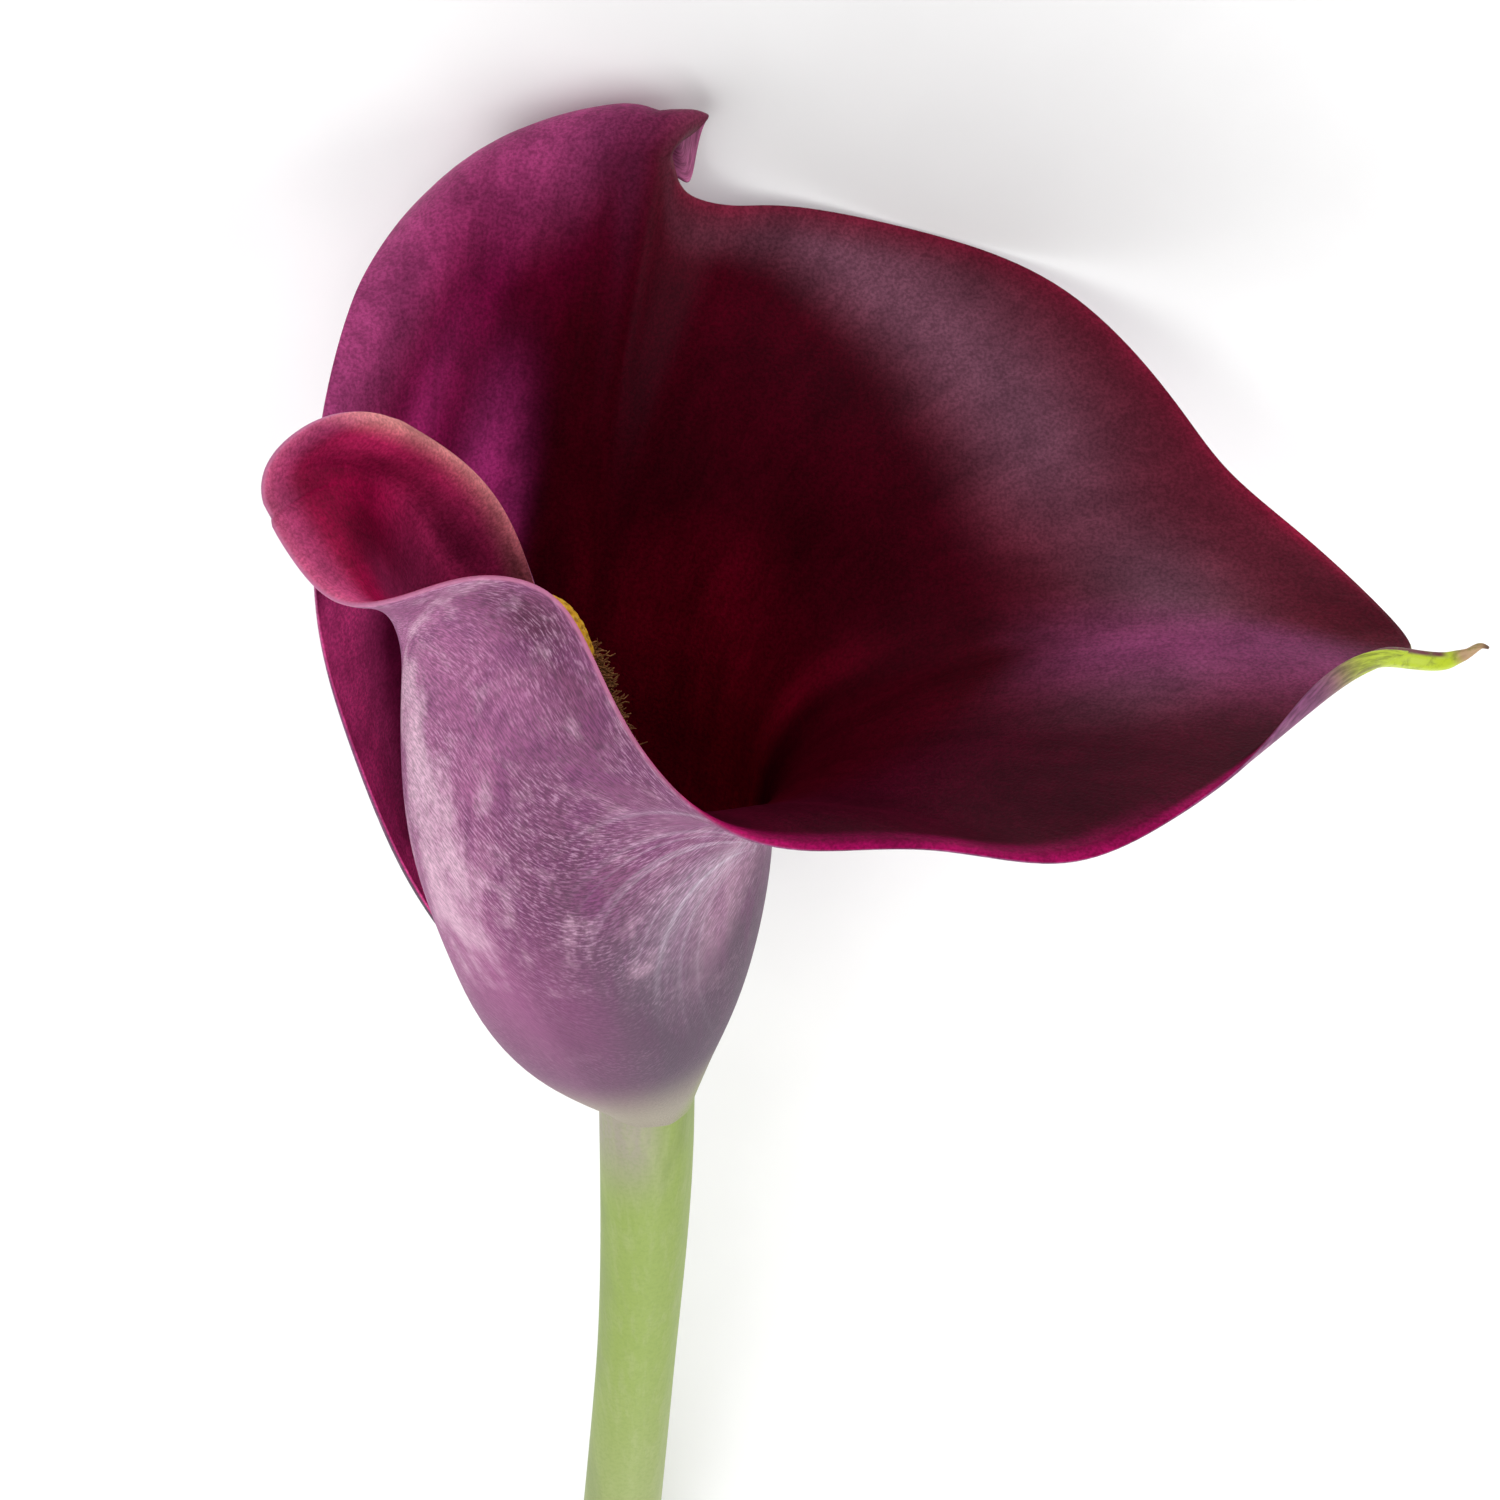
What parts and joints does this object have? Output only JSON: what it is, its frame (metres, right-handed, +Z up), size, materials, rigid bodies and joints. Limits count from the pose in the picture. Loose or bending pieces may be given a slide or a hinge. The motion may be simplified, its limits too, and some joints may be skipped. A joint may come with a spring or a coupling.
{
  "type": "calla lily flower",
  "caption": "Cut calla lily lying on its side: one spathe rolled into a flared funnel with a tailed tip, a floret-covered spadix inside, on a smooth round stem.",
  "frame": {"origin": "on the table, at the middle of the bounding box of the lying flower", "axes": "+Z up from the table; -Y towards the cut end of the stem, +Y towards the flower's mouth; +X towards the green tail of the spathe"},
  "size_m": [0.1106, 0.2122, 0.0736],
  "materials": {
    "spathe_sheet": "satin living petal, black-maroon inside, lilac outside",
    "spadix_florets": "matt pollen-dusted florets, yellow",
    "stem_flesh": "satin green plant skin"
  },
  "bodies": {
    "root": {"spathe": "spathe_sheet", "spadix": "spadix_florets", "stem": "stem_flesh"}
  },
  "joints": []
}
